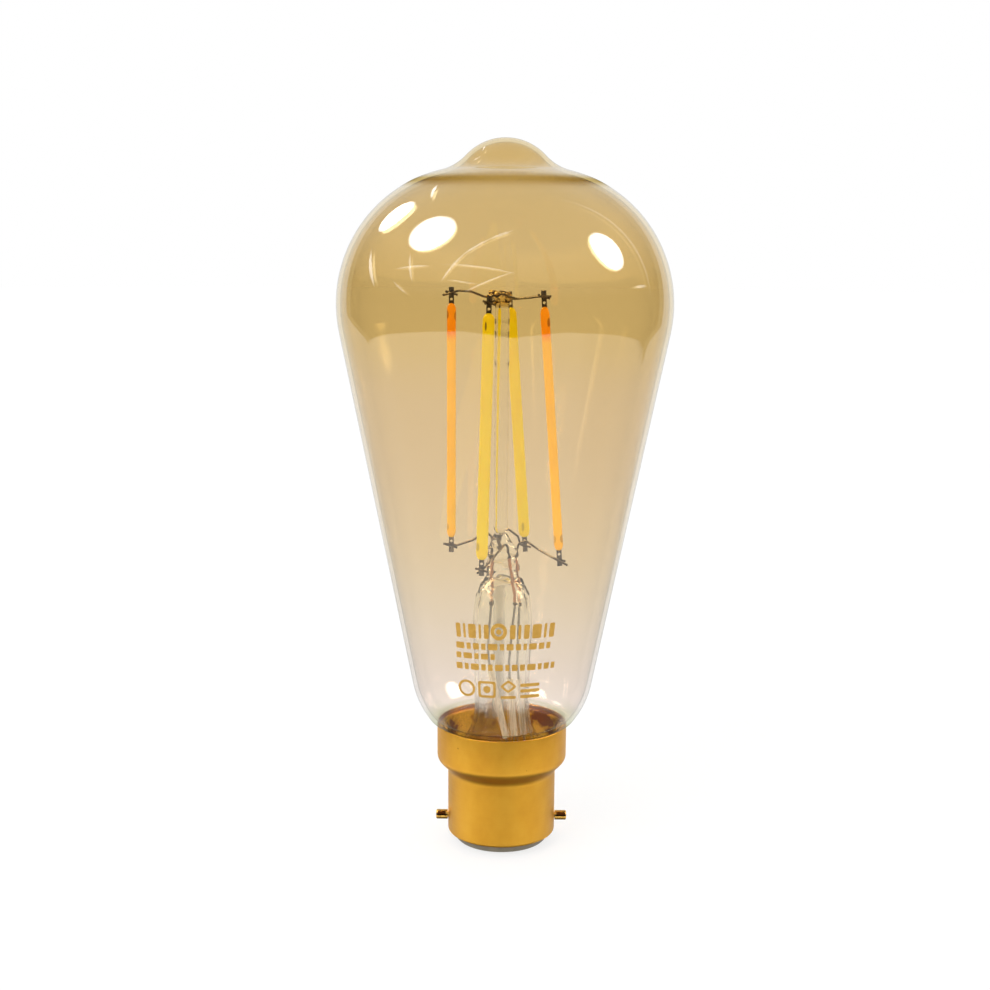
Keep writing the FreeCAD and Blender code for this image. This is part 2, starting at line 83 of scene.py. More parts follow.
def closed_grid(rows, close_rows=False):
    """Vertices and faces of a grid of rows of points, each row a ring; end rows may be a pole.

    rows is an array (row, ring, 3). Neighbouring rows are joined by quads round the ring. With
    close_rows the last row joins the first; otherwise each end is closed by one point at its mean.
    """
    count, ring, _ = rows.shape
    index = np.arange(count * ring).reshape(count, ring)
    low = index if close_rows else index[:-1]
    high = np.roll(index, -1, 0) if close_rows else index[1:]
    quads = np.stack([low, np.roll(low, -1, 1), np.roll(high, -1, 1), high], -1).reshape(-1, 4)
    points = rows.reshape(-1, 3)
    faces = quads.tolist()
    if not close_rows:
        first, last = len(points), len(points) + 1
        points = np.vstack([points, rows[0].mean(0), rows[-1].mean(0)])
        fan = np.stack([index[0], np.roll(index[0], -1)], -1)
        faces += np.insert(fan[:, ::-1], 0, first, 1).tolist()
        fan = np.stack([index[-1], np.roll(index[-1], -1)], -1)
        faces += np.insert(fan, 0, last, 1).tolist()
    return points, faces


def spun(points, around=AROUND):
    """Rows of a profile of (radius, height) carried round the Z axis."""
    turn = np.linspace(0, 2 * pi, around, endpoint=False)
    radius, height = np.asarray(points).T
    x = radius[:, None] * np.cos(turn)
    y = radius[:, None] * np.sin(turn)
    return np.stack([x, y, np.broadcast_to(height[:, None], x.shape)], -1)


def piece(name, parts, material, sharp=35, stands_for=()):
    """One mesh object from one or more closed grids in mm, facing outwards, on the root body."""
    points, faces, start = [], [], 0
    for part_points, part_faces in parts:
        flat = np.array([face[:3] for face in part_faces])
        a, b, c = (part_points[flat[:, k]] for k in range(3))
        tail = [face for face in part_faces if len(face) == 4]
        volume = np.einsum("ij,ij->i", a, np.cross(b, c)).sum()
        if tail:
            tail = np.array(tail)
            a, b, c = (part_points[tail[:, k]] for k in (0, 2, 3))
            volume += np.einsum("ij,ij->i", a, np.cross(b, c)).sum()
        turned_out = part_faces if volume > 0 else [face[::-1] for face in part_faces]
        points.append(part_points)
        faces += [[v + start for v in face] for face in turned_out]
        start += len(part_points)
    mesh = bpy.data.meshes.new(name)
    mesh.from_pydata((np.vstack(points) * MM).tolist(), [], faces)
    mesh.shade_smooth()
    mesh.set_sharp_from_angle(angle=radians(sharp))
    mesh.materials.append(material)
    made = bpy.data.objects.new(name, mesh)
    bpy.context.scene.collection.objects.link(made)
    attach(made, "root")
    if stands_for:
        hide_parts(*stands_for)
    return made


# ---------------------------------------------------------------- finishes


class Finish:
    """A node material: a Principled shader and short ways to feed it."""

    def __init__(self, name, **fixed):
        self.material = bpy.data.materials.new(name)
        self.material.use_nodes = True
        self.tree = self.material.node_tree
        self.shader = self.tree.nodes["Principled BSDF"]
        self.output = self.tree.nodes["Material Output"]
        self.set(self.shader, **fixed)
        self.place = self.node("ShaderNodeTexCoord").outputs["Object"]

    def set(self, node, **fixed):
        for socket, value in fixed.items():
            node.inputs[socket.replace("_", " ")].default_value = value

    def node(self, kind, **settings):
        made = self.tree.nodes.new(kind)
        for key, value in settings.items():
            setattr(made, key, value)
        return made

    def link(self, source, target):
        self.tree.links.new(source, target)

    def noise(self, size, stretch=(1, 1, 1), detail=4.0, rough=0.55, place=None):
        """Noise with features of about size mm, drawn out along each axis by stretch."""
        mapping = self.node("ShaderNodeMapping")
        scale = [1 / (size * MM * k) for k in stretch]
        mapping.inputs["Scale"].default_value = scale
        self.link(place or self.place, mapping.inputs["Vector"])
        made = self.node("ShaderNodeTexNoise")
        self.set(made, Scale=1.0, Detail=detail, Roughness=rough)
        self.link(mapping.outputs["Vector"], made.inputs["Vector"])
        return made.outputs["Fac"]

    def ramp(self, factor, stops, interpolation="LINEAR"):
        """A colour ramp; stops are (position, colour)."""
        made = self.node("ShaderNodeValToRGB")
        made.color_ramp.interpolation = interpolation
        elements = made.color_ramp.elements
        while len(elements) < len(stops):
            elements.new(0.5)
        for element, (position, colour) in zip(elements, stops):
            element.position = position
            element.color = (*colour[:3], 1)
        self.link(factor, made.inputs["Fac"])
        return made.outputs["Color"]

    def between(self, factor, low, high, start=0.0, end=1.0):
        """factor carried from start..end to low..high, held at the ends."""
        made = self.node("ShaderNodeMapRange")
        for socket, value in zip(("From Min", "From Max", "To Min", "To Max"), (start, end, low, high)):
            made.inputs[socket].default_value = value
        self.link(factor, made.inputs["Value"])
        return made.outputs["Result"]

    def math(self, operation, first, second=None):
        made = self.node("ShaderNodeMath", operation=operation)
        for socket, value in zip(made.inputs, (first, second)):
            if value is None:
                continue
            if isinstance(value, (int, float)):
                socket.default_value = value
            else:
                self.link(value, socket)
        return made.outputs["Value"]

    def blend(self, factor, first, second, mode="MIX"):
        """Two colours mixed by a factor; each may be a colour or a socket."""
        made = self.node("ShaderNodeMix", data_type="RGBA", blend_type=mode)
        if isinstance(factor, (int, float)):
            made.inputs[0].default_value = factor
        else:
            self.link(factor, made.inputs[0])
        for socket, value in zip((made.inputs[6], made.inputs[7]), (first, second)):
            if isinstance(value, tuple):
                socket.default_value = (*value[:3], 1)
            else:
                self.link(value, socket)
        return made.outputs[2]

    def spot(self, x, z, half_x, half_z):
        """1 at the middle of a soft oval seen along Y, 0 outside it; sizes in mm."""
        wide = self.math("DIVIDE", self.math("SUBTRACT", self.axis("X"), x * MM), half_x * MM)
        high = self.math("DIVIDE", self.math("SUBTRACT", self.axis("Z"), z * MM), half_z * MM)
        away = self.math("ADD", self.math("MULTIPLY", wide, wide), self.math("MULTIPLY", high, high))
        return self.between(away, 1, 0, 0.55, 1.1)

    def axis(self, name):
        split = self.node("ShaderNodeSeparateXYZ")
        self.link(self.place, split.inputs["Vector"])
        return split.outputs[name]

    def colour(self, source):
        self.link(source, self.shader.inputs["Base Color"])

    def rough(self, source):
        self.link(source, self.shader.inputs["Roughness"])

    def bump(self, height, depth, strength=1.0, target=None):
        """Relief of depth mm from a height of 0 to 1."""
        made = self.node("ShaderNodeBump")
        self.set(made, Strength=strength, Distance=depth * MM)
        self.link(height, made.inputs["Height"])
        self.link(made.outputs["Normal"], (target or self.shader).inputs["Normal"])
        return made.outputs["Normal"]


def mottled(name, dark, light, size, rough, relief=0.01, stretch=(1, 1, 1), **fixed):
    """A finish whose colour and gloss wander between two values with noise of size mm."""
    made = Finish(name, **fixed)
    cloud = made.noise(size, stretch)
    grain = made.noise(size / 6, stretch, detail=2.0)
    made.colour(made.ramp(cloud, [(0.3, dark), (0.7, light)]))
    made.rough(made.between(grain, rough[0], rough[1], 0.3, 0.7))
    made.bump(grain, relief)
    return made


# ---------------------------------------------------------------- glass envelope

GLASS = 0.8
ENVELOPE = [5.61, (0.9, 85.0), (3.0, -47.0), (17.33, -26.87), 71.72, (26.17, -87.97), (9.37, 33.26)]
NECK = (11.89, 19.0)


def envelope_rows():
    """The envelope's outline, outside up to the tip and inside back down, carried round."""
    _, tip, heading = outline(NECK, 0, ENVELOPE)
    steps = ENVELOPE + [(tip[0] / cos(radians(heading)), -90 - heading)]
    outer, _, _ = outline(NECK, 0, steps)
    inner, _, _ = outline(NECK, 0, steps, GLASS)
    return outer, inner


def tinted_glass():
    """Thin blown glass: a clear wall with a tint that weakens towards the neck, and its gloss."""
    made = Finish("amber_blown_glass")
    tree = made.tree
    tree.nodes.remove(made.shader)
    height = made.between(made.axis("Z"), 0, 1, 20 * MM, 112 * MM)
    tint = made.ramp(
        height,
        [
            (0.0, (0.965, 0.945, 0.925)),
            (0.122, (0.940, 0.900, 0.868)),
            (0.282, (0.925, 0.878, 0.810)),
            (0.373, (0.920, 0.863, 0.770)),
            (0.464, (0.916, 0.850, 0.735)),
            (0.639, (0.904, 0.828, 0.696)),
            (0.80, (0.899, 0.818, 0.668)),
            (0.90, (0.898, 0.812, 0.618)),
        ],
    )
    facing = made.node("ShaderNodeLayerWeight")
    facing.inputs["Blend"].default_value = 0.5
    edge = facing.outputs["Facing"]
    slant = made.between(edge, 0, 1, 0.82, 1.0)
    slant = made.math("POWER", slant, 1.6)
    deep = made.blend(slant, tint, (0.52, 0.50, 0.36), "MULTIPLY")
    up = made.axis("Z")
    heel = made.between(up, 1, 0, 25.6 * MM, 28.2 * MM)
    shoulder = made.math("MULTIPLY", made.between(up, 0, 1, 131.5 * MM, 132.6 * MM), made.between(up, 1, 0, 133.1 * MM, 134.0 * MM))
    nipple = made.math("MULTIPLY", made.between(up, 0, 1, 134.5 * MM, 136.5 * MM), 0.35)
    thick = made.math("MAXIMUM", made.math("MAXIMUM", heel, shoulder), nipple)
    turned_away = made.between(edge, 0, 1, 0.35, 0.75)
    deep = made.blend(made.math("MULTIPLY", heel, turned_away), deep, (0.66, 0.71, 0.50), "MULTIPLY")
    deep = made.blend(made.math("MULTIPLY", shoulder, turned_away), deep, (0.82, 0.77, 0.54), "MULTIPLY")
    deep = made.blend(made.math("MULTIPLY", nipple, slant), deep, (0.62, 0.58, 0.36), "MULTIPLY")
    clear = made.node("ShaderNodeBsdfTransparent")
    made.link(deep, clear.inputs["Color"])
    gloss = made.node("ShaderNodeBsdfGlossy", distribution="GGX")
    made.set(gloss, Roughness=0.0)
    gloss.inputs["Color"].default_value = (1, 1, 1, 1)
    ripple = made.noise(14.0, (1, 1, 1.6), detail=2.0)
    made.bump(ripple, 0.05, 0.5, gloss)
    grazing = made.math("POWER", edge, 5.0)
    share = made.math("ADD", made.math("MULTIPLY", grazing, 0.96), 0.04)
    share = made.math("MULTIPLY", share, made.between(thick, 1.0, 0.12))
    mix = made.node("ShaderNodeMixShader")
    made.link(share, mix.inputs["Fac"])
    made.link(clear.outputs["BSDF"], mix.inputs[1])
    made.link(gloss.outputs["BSDF"], mix.inputs[2])
    made.link(mix.outputs["Shader"], made.output.inputs["Surface"])
    return made.material


outer, inner = envelope_rows()
wall = np.vstack([outer[:-1], [[0.0, outer[-1][1]]]]), np.vstack([[[0.0, inner[-1][1]]], inner[:-1][::-1]])
loop = np.vstack(wall)
on_axis = len(outer) - 1


def blown(outer_run, inner_run):
    """One closed shell: outer rows, tip point, inner rows from their tip point, foot ring."""
    rows_out = spun(outer_run[:-1])
    rows_in = spun(inner_run[:-1][::-1])
    count, ring, _ = rows_out.shape
    points = np.vstack([rows_out.reshape(-1, 3), rows_in.reshape(-1, 3)])
    index_out = np.arange(count * ring).reshape(count, ring)
    index_in = index_out + count * ring
    tip_out, tip_in = len(points), len(points) + 1
    points = np.vstack([points, [0, 0, outer_run[-1][1]], [0, 0, inner_run[-1][1]]])

    def quads(low, high):
        return np.stack([low, np.roll(low, -1, 1), np.roll(high, -1, 1), high], -1).reshape(-1, 4)

    faces = quads(index_out[:-1], index_out[1:]).tolist()
    faces += quads(index_in[:-1], index_in[1:]).tolist()
    faces += quads(index_in[-1:], index_out[:1]).tolist()
    fan = np.stack([index_out[-1], np.roll(index_out[-1], -1)], -1)
    faces += np.insert(fan, 2, tip_out, 1).tolist()
    fan = np.stack([np.roll(index_in[0], -1), index_in[0]], -1)
    faces += np.insert(fan, 2, tip_in, 1).tolist()
    return points, faces


glass = piece(
    "blown_envelope", [blown(outer, inner)], tinted_glass(), stands_for=["glass_envelope"]
)

# ---------------------------------------------------------------- stem

STEM_TOP = 50.5
# Height above the tube, half width, half depth and shift along X of the pinched glass.
PINCH = np.array(
    [
        (-14.0, 5.6, 5.6, 0.0),
        (0.0, 5.6, 5.6, 0.0),
        (2.6, 5.05, 4.1, 0.0),
        (4.6, 3.7, 2.3, 0.0),
        (6.6, 3.15, 1.65, 0.0),
        (8.4, 3.05, 1.7, -0.05),
        (10.4, 3.1, 2.2, -0.2),
        (12.4, 2.2, 1.9, -0.4),
        (14.08, 1.3, 1.3, -0.5),
    ]
)
HOLLOW = np.array([(-14.0, 4.7, 4.7, 0.0), (0.0, 4.7, 4.7, 0.0), (2.4, 4.0, 3.1, 0.0), (4.2, 2.5, 1.2, 0.0), (4.9, 0.9, 0.4, 0.0)])
FLARE = [(12.0, -38.0), (3.5, -52.0)]


def eased(table, heights):
    """Half width, half depth and shift at each height: a smooth curve through the table's rows."""
    at = table[:, 0]
    slopes = np.gradient(table[:, 1:], at, axis=0)
    k = np.clip(np.searchsorted(at, heights) - 1, 0, len(at) - 2)
    gap = (at[k + 1] - at[k])[:, None]
    t = ((heights - at[k]) / (at[k + 1] - at[k]))[:, None]
    low, high = table[k, 1:], table[k + 1, 1:]
    value = (
        (1 + 2 * t) * (1 - t) ** 2 * low
        + t * (1 - t) ** 2 * gap * slopes[k]
        + t * t * (3 - 2 * t) * high
        + t * t * (t - 1) * gap * slopes[k + 1]
    )
    return value


def pinched(table, low, high, count, lump):
    """Rings of the pinched tube from low to high above it, with soft lumps from sines."""
    rise = np.linspace(low, high, count)
    half = eased(table, rise)
    turn = np.linspace(0, 2 * pi, AROUND, endpoint=False)
    strength = lump * np.clip((rise - 1.0) / 4.0, 0, 1) * np.clip((high - rise) / 2.0, 0, 1)
    wave = np.sin(2 * turn[None] + 1.9 * rise[:, None]) + 0.7 * np.sin(3 * turn[None] - 2.6 * rise[:, None] + 1.0)
    wave += 0.4 * np.sin(5 * turn[None] + 4.1 * rise[:, None])
    swell = 1 + strength[:, None] * wave
    x = half[:, 2:3] + half[:, 0:1] * swell * np.cos(turn)
    y = half[:, 1:2] * swell * np.sin(turn)
    z = np.broadcast_to((STEM_TOP + rise)[:, None], x.shape)
    return np.stack([x, y, z], -1)


def stem():
    """Flare, tube and pinch as one closed shell of clear glass, hollow up to the pinch."""
    drop = 12.0 * sin(radians(38)) + 3.5 * (1 - sin(radians(38)))
    tube = STEM_TOP - 14.0 - 19.0 - 0.9 - drop
    rim = 11.09 - 5.6 - 12.0 * (1 - cos(radians(38))) - 3.5 * cos(radians(38))
    steps = [float(tube)] + FLARE + [float(rim)]
    outer_run, _, _ = outline((5.6, STEM_TOP - 14.0), 180, steps)
    inner_run, _, _ = outline((5.6, STEM_TOP - 14.0), 180, steps, -0.9)
    outside = np.concatenate([spun(outer_run[::-1])[:-1], pinched(PINCH, -14.0, 14.08, 120, 0.085)])
    inside = np.concatenate([pinched(HOLLOW, -14.0, 4.9, 70, 0.03)[::-1], spun(inner_run)[1:]])
    count = len(outside)
    points = np.concatenate([outside, inside]).reshape(-1, 3)
    index = np.arange(len(outside) * AROUND).reshape(-1, AROUND)
    index_in = np.arange(len(inside) * AROUND).reshape(-1, AROUND) + count * AROUND

    def quads(low, high):
        return np.stack([low, np.roll(low, -1, 1), np.roll(high, -1, 1), high], -1).reshape(-1, 4)

    faces = quads(index[:-1], index[1:]).tolist() + quads(index_in[:-1], index_in[1:]).tolist()
    faces += quads(index_in[-1:], index[:1]).tolist()
    tip_out, tip_in = len(points), len(points) + 1
    points = np.vstack([points, outside[-1].mean(0), inside[0].mean(0)])
    fan = np.stack([index[-1], np.roll(index[-1], -1)], -1)
    faces += np.insert(fan, 2, tip_out, 1).tolist()
    fan = np.stack([np.roll(index_in[0], -1), index_in[0]], -1)
    faces += np.insert(fan, 2, tip_in, 1).tolist()
    return points, faces


def clear_glass():
    """Clear lead glass that bends light, with the faint ripple of hand-drawn tube."""
    made = Finish("clear_stem_glass")
    made.tree.nodes.remove(made.shader)
    body = made.node("ShaderNodeBsdfGlass", distribution="GGX")
    made.set(body, Roughness=0.0, IOR=1.43)
    tone = made.ramp(made.noise(6.0), [(0.3, (0.985, 0.99, 0.965)), (0.7, (1.0, 1.0, 0.99))])
    # The glass is tinted amber from near the top of the rod up through the bead.
    amber_top = made.between(made.axis("Z"), 0, 1, 109.0 * MM, 109.6 * MM)
    made.link(made.blend(amber_top, tone, (0.92, 0.82, 0.56)), body.inputs["Color"])
    made.bump(made.noise(2.4, (1, 1, 2.5), detail=2.0), 0.05, 0.5, body)
    clear = made.node("ShaderNodeBsdfTransparent")
    path = made.node("ShaderNodeLightPath")
    mix = made.node("ShaderNodeMixShader")
    flare = made.between(made.axis("Z"), 0.5, 0.0, 30 * MM, 36 * MM)
    made.link(made.math("MAXIMUM", path.outputs["Is Shadow Ray"], flare), mix.inputs["Fac"])
    made.link(body.outputs["BSDF"], mix.inputs[1])
    made.link(clear.outputs["BSDF"], mix.inputs[2])
    made.link(mix.outputs["Shader"], made.output.inputs["Surface"])
    return made.material


CLEAR = clear_glass()
piece("glass_stem", [stem()], CLEAR, stands_for=["stem_flare"])


def support():
    """The centre rod: a round bar with slightly uneven thickness and rounded ends."""
    t = np.linspace(0, 1, 150)
    z = 64.66 + t * (110.3 - 64.66)
    end = np.minimum(1, np.sqrt(np.clip(1 - (1 - np.minimum(z - 64.6, 1.2) / 1.2) ** 2, 0.002, 1)))
    radius = 1.40 * end * (1 + 0.02 * np.sin(z * 0.9) + 0.012 * np.sin(z * 2.3))
    rows = spun(np.stack([radius, z], 1), 64)
    rows[..., 0] += -0.5
    return closed_grid(rows)


def bead():
    """The melted bead: an oval drop with lumps from products of sines round and along it."""
    u = np.linspace(0.02, pi - 0.02, 90)[:, None]
    v = np.linspace(0, 2 * pi, 128, endpoint=False)[None]
    lump = 1 + 0.16 * np.sin(4 * u + 1.0) * np.cos(2 * v) + 0.13 * np.sin(6 * u) * np.sin(3 * v + 0.6)
    lump += 0.07 * np.cos(9 * u + v) * np.sin(4 * v)
    x = -1.1 - 2.72 * np.cos(u) * lump / 1.22
    y = 1.5 * np.sin(u) * lump / 1.22 * np.cos(v)
    z = 111.1 + 1.58 * np.sin(u) * lump / 1.22 * np.sin(v)
    return closed_grid(np.stack([x + 0 * v, y, z], -1))


piece("glass_support_rod", [support(), bead()], CLEAR, stands_for=["support_rod"])

# ---------------------------------------------------------------- light strips

# Width, top and foot of each strip's phosphor.
STRIPS = {
    "warm_left": (1.8, (-10.4, 2.1, 109.8), (-10.5, 4.2, 62.9)),
    "cool_front": (2.3, (-3.0, -9.0, 108.5), (-4.1, -10.8, 61.5)),
    "warm_right": (1.8, (7.6, -2.1, 109.4), (11.0, -4.2, 62.1)),
    "cool_rear": (2.3, (1.1, 9.0, 108.7), (4.4, 10.8, 61.7)),
}
STRIP_DEPTH = 1.6


def strip(width, top, foot):
    """A bar of silicone between two points: a rounded oblong section drawn in to bullet ends."""
    top, foot = np.array(top), np.array(foot)
    length = np.linalg.norm(top - foot)
    along = (top - foot) / length
    depth = np.cross(along, [1.0, 0, 0])
    depth /= np.linalg.norm(depth)
    across = np.cross(depth, along)
    s = length * (1 - np.cos(np.linspace(0.004, pi - 0.004, 140))) / 2
    nose = 1.5
    near = np.minimum(np.minimum(s, length - s), nose) / nose
    end = np.sqrt(np.clip(1 - (1 - near) ** 2, 0, 1)) ** 0.8
    swell = 1 + 0.018 * np.sin(s * 1.3) + 0.012 * np.sin(s * 3.7 + 1)
    turn = np.linspace(0, 2 * pi, 40, endpoint=False)
    section_x = np.sign(np.cos(turn)) * np.abs(np.cos(turn)) ** 0.62
    section_y = np.sign(np.sin(turn)) * np.abs(np.sin(turn)) ** 0.62
    half_x = (0.49 * width * end * swell)[:, None]
    half_y = (0.49 * STRIP_DEPTH * end)[:, None]
    rows = foot + s[:, None, None] * along
    rows = rows + (half_x * section_x)[..., None] * across + (half_y * section_y)[..., None] * depth
    return closed_grid(rows)


# Brown scorch marks on the strips: place along X and Z, half sizes in mm and strength.
BURNS = [
    (-3.55, 106.1, 0.2, 0.9, 0.85),
    (-11.25, 107.6, 0.35, 0.9, 0.65),
    (-9.6, 107.4, 0.3, 0.9, 0.45),
    (8.45, 106.5, 0.35, 0.9, 0.6),
    (4.05, 64.0, 0.3, 1.0, 0.4),
    (-4.9, 64.2, 0.35, 0.9, 0.4),
    (-11.3, 65.2, 0.35, 0.8, 0.35),
    (11.6, 64.6, 0.5, 0.9, 0.45),
    (10.1, 64.4, 0.3, 0.8, 0.35),
]


def phosphor(name, colour, deep, ends, painted_glow):
    """Phosphor in silicone: satin, faintly mottled, deeper at the top, duller at the two ends.

    It carries a painted glow: it emits its own colour a little, though it is no lamp.
    """
    made = Finish(name, Subsurface_Weight=0.2, Subsurface_Scale=0.0006, IOR=1.41, Emission_Strength=painted_glow)
    made.shader.inputs["Subsurface Radius"].default_value = (1.0, 0.5, 0.2)
    height = made.axis("Z")
    base = made.blend(made.between(height, 0, 1, 102.4 * MM, 104.2 * MM), colour, deep)
    cloud = made.ramp(made.noise(1.6, (1, 1, 3)), [(0.3, (0.93, 0.91, 0.9)), (0.7, (1, 1, 1))])
    base = made.blend(1.0, base, cloud, "MULTIPLY")
    low = made.between(height, 1, 0, 61.5 * MM, 66.0 * MM)
    high = made.between(height, 0, 1, 104.8 * MM, 107.4 * MM)
    dull = made.math("MULTIPLY", made.math("MAXIMUM", low, high), 0.45)
    base = made.blend(dull, base, ends)
    for x, z, half_x, half_z, share in BURNS:
        base = made.blend(made.math("MULTIPLY", made.spot(x, z, half_x, half_z), share), base, (0.12, 0.05, 0.012))
    made.colour(base)
    # Painted glow: the phosphor's colour is also emitted, so the strip shines though it is unlit.
    made.link(base, made.shader.inputs["Emission Color"])
    fine = made.noise(0.25, detail=2.0)
    made.rough(made.between(fine, 0.36, 0.52, 0.3, 0.7))
    made.bump(fine, 0.02, 0.6)
    return made.material


WARM = phosphor("orange_phosphor", (1.0, 0.61, 0.0), (1.0, 0.33, 0.0), (0.96, 0.40, 0.01), 0.30)
COOL = phosphor("yellow_phosphor", (0.97, 0.84, 0.0), (1.0, 0.84, 0.0), (0.94, 0.70, 0.02), 0.18)
for name, (width, top, foot) in STRIPS.items():
    shade = "warm" if "warm" in name else "cool"
    piece(
        "light_strip_" + name,
        [strip(width, top, foot)],
        WARM if shade == "warm" else COOL,
        stands_for=["filament_" + name],
    )

# ---------------------------------------------------------------- bayonet cap


def rounded(corners, radius, per_bend=7):
    """A closed outline through corners, each replaced by an arc of about the radius given."""
    corners = np.array(corners, float)
    back = np.roll(corners, 1, 0) - corners
    on = np.roll(corners, -1, 0) - corners
    radius = np.broadcast_to(np.array(radius, float), len(corners))
    points = []
    for corner, to_back, to_on, r in zip(corners, back, on, radius):
        reach_back, reach_on = np.linalg.norm(to_back), np.linalg.norm(to_on)
        setback = min(r, 0.45 * reach_back, 0.45 * reach_on)
        first = corner + to_back / reach_back * setback
        last = corner + to_on / reach_on * setback
        t = np.linspace(0, 1, per_bend)[:, None]
        points.extend((1 - t) ** 2 * first + 2 * t * (1 - t) * corner + t * t * last)
    return np.array(points)


CAP = [
    (11.0, 2.1),
    (11.0, 15.65),
    (13.2, 17.9),
    (13.2, 25.35),
    (12.8, 25.35),
    (12.8, 18.1),
    (10.6, 15.85),
    (10.6, 2.5),
    (9.5, 2.5),
    (9.5, 2.1),
]
CAP_BENDS = (1.3, 0.9, 0.8, 0.15, 0.15, 0.6, 0.7, 0.7, 0.1, 0.1)


def satin_brass(name, roughness, turned=True):
    """Lacquered brass with fine turning lines round it and faint darker patches."""
    made = Finish(name, Metallic=1.0)
    cloud = made.noise(5.0, (1, 1, 1.4))
    tone = made.ramp(cloud, [(0.25, (0.575, 0.276, 0.027)), (0.5, (0.625, 0.316, 0.032)), (0.8, (0.68, 0.364, 0.043))])
    # Painted light: the collar above the shoulder is painted 12 per cent lighter than the shell below it.
    lift = made.between(made.axis("Z"), 1.0, 1.12, 17.6 * MM, 18.4 * MM)
    lighter_collar_painted = made.node("ShaderNodeVectorMath", operation="SCALE")
    made.link(tone, lighter_collar_painted.inputs[0])
    made.link(lift, lighter_collar_painted.inputs["Scale"])
    tone = lighter_collar_painted.outputs["Vector"]
    specks = made.noise(0.9, detail=1.0)
    spots = made.ramp(specks, [(0.17, (0.45, 0.28, 0.12)), (0.2, (1, 1, 1))])
    made.colour(made.blend(1.0, tone, spots, "MULTIPLY"))
    lines = made.noise(0.16, (60, 60, 1) if turned else (1, 1, 1), detail=3.0)
    made.rough(made.between(lines, roughness - 0.04, roughness + 0.05, 0.3, 0.7))
    made.bump(lines, 0.006, 0.5)
    return made.material


BRASS = satin_brass("satin_cap_brass", 0.43)
piece(
    "brass_cap",
    [closed_grid(spun(rounded(CAP, CAP_BENDS)), close_rows=True)],
    BRASS,
    sharp=50,
    stands_for=["cap_shell"],
)

# ---------------------------------------------------------------- print on the glass

PRINT_LIFT = 0.03
PRINT_DEPTH = 0.03


def mark(x, z, half_x, half_z, power=8.0, hole=0.0):
    """A flat mark laid on the front of the glass, as an oblong |x|^p + |z|^p = 1, or a ring.

    x is measured round the glass. The mark is a thin closed skin that follows the surface.
    """
    turn = np.linspace(0, 2 * pi, 48, endpoint=False)
    edge_x = np.sign(np.cos(turn)) * np.abs(np.cos(turn)) ** (2 / power)
    edge_z = np.sign(np.sin(turn)) * np.abs(np.sin(turn)) ** (2 / power)
    share = np.linspace(1.0, max(hole, 0.02), 8)
    share = np.concatenate([share, share[::-1]])
    lift = PRINT_LIFT + PRINT_DEPTH * (np.arange(16) < 8)
    grid_x = x + half_x * share[:, None] * edge_x
    grid_z = z + half_z * share[:, None] * edge_z
    order = np.argsort(outer[:, 1])
    radius = np.interp(grid_z, outer[order, 1], outer[order, 0]) + lift[:, None]
    middle = np.interp(z, outer[order, 1], outer[order, 0])
    angle = grid_x / middle
    rows = np.stack([radius * np.sin(angle), -radius * np.cos(angle), grid_z], -1)
    return closed_grid(rows, close_rows=True)


def row_of_marks(left, right, low, high, widths, gap):
    """Marks in a row from left to right, their widths in the proportions given."""
    widths = np.array(widths, float)
    room = right - left - gap * (len(widths) - 1)
    widths = widths / widths.sum() * room
    starts = left + np.concatenate([[0], np.cumsum(widths + gap)[:-1]])
    return [
        mark(start + width / 2, (low + high) / 2, width / 2, (high - low) / 2)
        for start, width in zip(starts, widths)
    ]


def print_gold():
    """Matt gold ceramic ink, with the small pinholes of a stamped print."""
    made = Finish("gold_print_ink", Metallic=0.35)
    cloud = made.noise(1.2)
    made.colour(made.ramp(cloud, [(0.3, (0.50, 0.27, 0.035)), (0.7, (0.60, 0.34, 0.06))]))
    fine = made.noise(0.15, detail=2.0)
    made.rough(made.between(fine, 0.42, 0.6, 0.3, 0.7))
    made.bump(fine, 0.01)
    return made.material


marks = row_of_marks(-9.0, -2.6, 48.5, 51.4, (1, 0.5, 1.6, 0.5, 1), 0.55)
marks += [mark(-0.7, 50.0, 1.55, 1.75, 2.0, 0.55), mark(-0.7, 50.0, 0.5, 0.55, 2.0)]
marks += row_of_marks(1.4, 10.2, 48.5, 51.4, (1, 0.5, 1, 1.7, 0.5, 1), 0.55)
marks += row_of_marks(-9.0, 9.4, 46.2, 47.5, (2, 1, 1.4, 1, 2.2, 1, 1.6, 1.2, 0.8, 1.8, 1.3, 1), 0.45)
marks += row_of_marks(-9.0, -1.4, 44.2, 45.4, (1.2, 2, 1, 1.6, 1), 0.45)
marks += row_of_marks(-9.0, 10.4, 41.9, 43.2, (1.6, 1, 2, 1.1, 1.1, 1.9, 1, 1.4, 1.2, 2.1, 1, 1.3, 1), 0.45)
marks += [mark(-6.9, 37.9, 1.7, 1.75, 2.0, 0.72), mark(-2.9, 37.9, 1.7, 1.75, 8.0, 0.72)]
marks += [mark(-2.9, 37.9, 0.7, 0.75, 2.0), mark(1.2, 38.6, 1.5, 1.3, 1.2, 0.6), mark(1.2, 36.3, 1.45, 0.3)]
marks += [mark(5.4, 38.8, 1.9, 0.34), mark(5.4, 37.6, 1.9, 0.34), mark(5.4, 36.4, 1.9, 0.34)]
piece("front_print", marks, print_gold())

# ---------------------------------------------------------------- finishes of the other pieces


